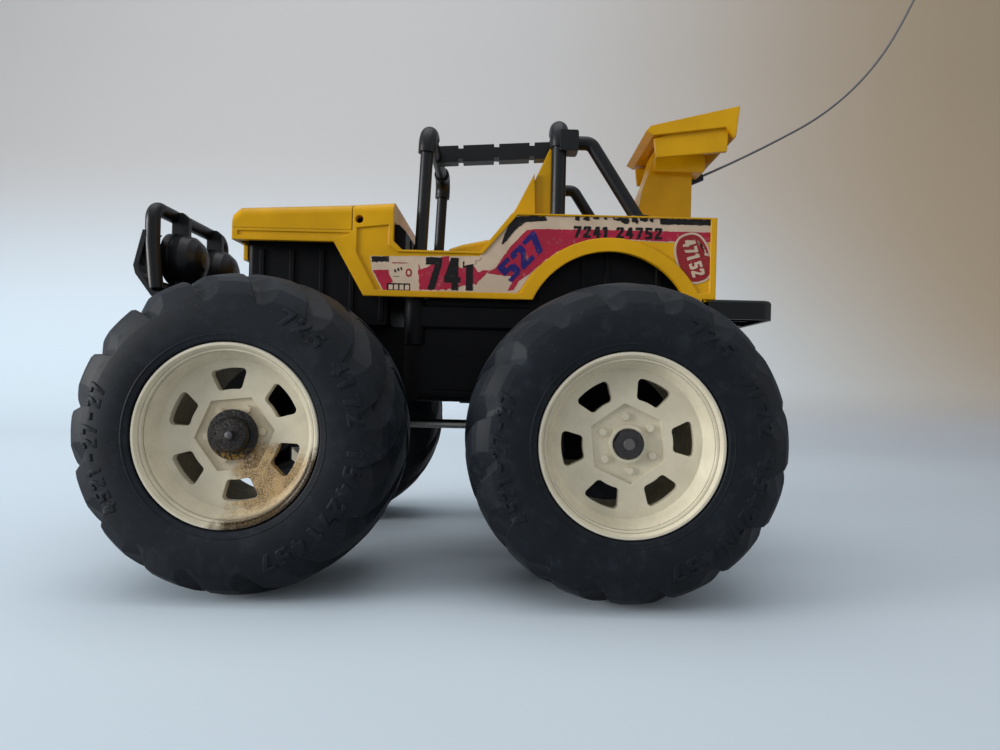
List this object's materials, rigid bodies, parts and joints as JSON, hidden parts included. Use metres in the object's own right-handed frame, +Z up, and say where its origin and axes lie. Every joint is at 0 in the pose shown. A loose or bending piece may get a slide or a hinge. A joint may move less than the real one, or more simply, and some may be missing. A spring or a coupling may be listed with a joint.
{
  "type": "remote control car",
  "caption": "Open-topped remote control off-road car on balloon tyres, with steering front wheels, a geared four-wheel drive, roll cage, lamps, wing and whip aerial.",
  "frame": {"origin": "on the ground, under the middle of the car's bounding box, aerial included", "axes": "+X towards the front of the car, +Y to its left, +Z up"},
  "size_m": [0.3932, 0.211, 0.3251],
  "materials": {
    "body_yellow": "satin",
    "black_plastic": "matte",
    "bar_black": "satin",
    "wheel_cream": "satin",
    "tyre_rubber": "matte",
    "shaft_steel": "brushed",
    "gear_nylon": "satin",
    "gear_brass": "satin",
    "motor_steel": "satin",
    "copper_windings": "satin",
    "lens_clear": "polished",
    "lamp_black": "satin",
    "whip_grey": "satin",
    "board_green": "satin",
    "chip_black": "matte",
    "cell_wrap": "satin",
    "contact_steel": "satin",
    "screw_steel": "satin",
    "bush_bronze": "satin"
  },
  "bodies": {
    "chassis": {"chassis_tub": "black_plastic", "engine_bay": "black_plastic", "bed_box": "black_plastic", "cockpit_tray": "black_plastic", "dashboard": "black_plastic", "body_shell": "body_yellow", "hood": "body_yellow", "seats": "body_yellow", "wing": "body_yellow", "wing_tower": "body_yellow", "rear_gear_case": "black_plastic", "front_gear_case": "black_plastic", "steering_servo": "black_plastic", "tub_fittings": "black_plastic", "rear_bumper": "black_plastic", "front_hoop": "bar_black", "rear_hoop": "bar_black", "spine_bar": "bar_black", "rear_braces": "bar_black", "bull_bar": "bar_black", "antenna_socket": "bar_black", "lamp_housings": "lamp_black", "lamp_lenses": "lens_clear", "body_screws": "screw_steel", "drive_motor": "motor_steel", "antenna_whip": "whip_grey", "circuit_board": "board_green", "board_parts": "chip_black", "battery_cells": "cell_wrap", "battery_contacts": "contact_steel", "axle_bushes": "bush_bronze"},
    "rear_axle": {"rear_axle_shaft": "shaft_steel", "axle_gear": "gear_nylon", "rear_crown_gear": "gear_nylon", "rim_rear_left": "wheel_cream", "rim_rear_right": "wheel_cream", "tyre_rear_left": "tyre_rubber", "tyre_rear_right": "tyre_rubber", "rear_hub_nuts": "screw_steel"},
    "propeller": {"propeller_shaft": "shaft_steel", "propeller_bevels": "gear_nylon"},
    "front_axle": {"front_axle_shaft": "shaft_steel", "front_crown_gear": "gear_nylon"},
    "idler": {"idler_gear": "gear_nylon"},
    "motor_armature": {"motor_rotor": "copper_windings", "motor_pinion": "gear_brass"},
    "left_knuckle": {"knuckle_left": "black_plastic"},
    "right_knuckle": {"knuckle_right": "black_plastic"},
    "left_front_wheel": {"stub_left": "shaft_steel", "rim_front_left": "wheel_cream", "tyre_front_left": "tyre_rubber", "hub_cap_left": "black_plastic"},
    "right_front_wheel": {"stub_right": "shaft_steel", "rim_front_right": "wheel_cream", "tyre_front_right": "tyre_rubber", "hub_cap_right": "black_plastic"},
    "steering_rod": {"tie_rod": "black_plastic"},
    "steering_arm": {"servo_arm": "black_plastic"},
    "switch_knob": {"power_switch": "black_plastic"},
    "cell_door": {"battery_door": "black_plastic"}
  },
  "joints": [
    {"name": "rear_axle_spin", "type": "hinge", "parent": "chassis", "child": "rear_axle", "pos_m": [-0.02155, 0, 0.0625], "axis": [0, 1, 0], "continuous": true},
    {"name": "propeller_spin", "type": "hinge", "parent": "chassis", "child": "propeller", "pos_m": [0.05265, 0, 0.0625], "axis": [1, 0, 0], "continuous": true},
    {"name": "front_axle_spin", "type": "hinge", "parent": "chassis", "child": "front_axle", "pos_m": [0.12685, 0, 0.0625], "axis": [0, 1, 0], "continuous": true},
    {"name": "idler_spin", "type": "hinge", "parent": "chassis", "child": "idler", "pos_m": [-0.02655, -0.021, 0.07938], "axis": [0, 1, 0], "continuous": true},
    {"name": "motor_spin", "type": "hinge", "parent": "chassis", "child": "motor_armature", "pos_m": [-0.03855, 0, 0.08733], "axis": [0, 1, 0], "continuous": true},
    {"name": "steer_left", "type": "hinge", "parent": "chassis", "child": "left_knuckle", "pos_m": [0.12685, 0.062, 0.0625], "axis": [0, 0, 1], "range_deg": [-20, 20]},
    {"name": "steer_right", "type": "hinge", "parent": "chassis", "child": "right_knuckle", "pos_m": [0.12685, -0.062, 0.0625], "axis": [0, 0, 1], "range_deg": [-20, 20]},
    {"name": "left_front_wheel_spin", "type": "hinge", "parent": "left_knuckle", "child": "left_front_wheel", "pos_m": [0.12685, 0.08, 0.0625], "axis": [0, 1, 0], "continuous": true},
    {"name": "right_front_wheel_spin", "type": "hinge", "parent": "right_knuckle", "child": "right_front_wheel", "pos_m": [0.12685, -0.08, 0.0625], "axis": [0, 1, 0], "continuous": true},
    {"name": "steering_rod_slide", "type": "slide", "parent": "chassis", "child": "steering_rod", "axis": [0, 1, 0], "range_m": [-0.0058, 0.0058]},
    {"name": "steering_arm_turn", "type": "hinge", "parent": "chassis", "child": "steering_arm", "pos_m": [0.15535, 0, 0.07], "axis": [0, 0, 1], "range_deg": [-28.5, 28.5]},
    {"name": "switch_slide", "type": "slide", "parent": "chassis", "child": "switch_knob", "axis": [1, 0, 0], "range_m": [0, 0.004]},
    {"name": "cell_door_swing", "type": "hinge", "parent": "chassis", "child": "cell_door", "pos_m": [0.02685, 0.0356, 0.07625], "axis": [1, 0, 0], "range_deg": [0, 80]}
  ],
  "couplings": [
    {"joint": "propeller_spin", "follows": "rear_axle_spin", "ratio": -2},
    {"joint": "front_axle_spin", "follows": "rear_axle_spin", "ratio": 1},
    {"joint": "idler_spin", "follows": "rear_axle_spin", "ratio": -2.6667},
    {"joint": "motor_spin", "follows": "rear_axle_spin", "ratio": 10.133},
    {"joint": "left_front_wheel_spin", "follows": "rear_axle_spin", "ratio": 1},
    {"joint": "right_front_wheel_spin", "follows": "rear_axle_spin", "ratio": 1},
    {"joint": "steer_right", "follows": "steer_left", "ratio": 1},
    {"joint": "steering_rod_slide", "follows": "steer_left", "m_per_rad": 0.0163},
    {"joint": "steering_arm_turn", "follows": "steer_left", "ratio": -1.4}
  ]
}
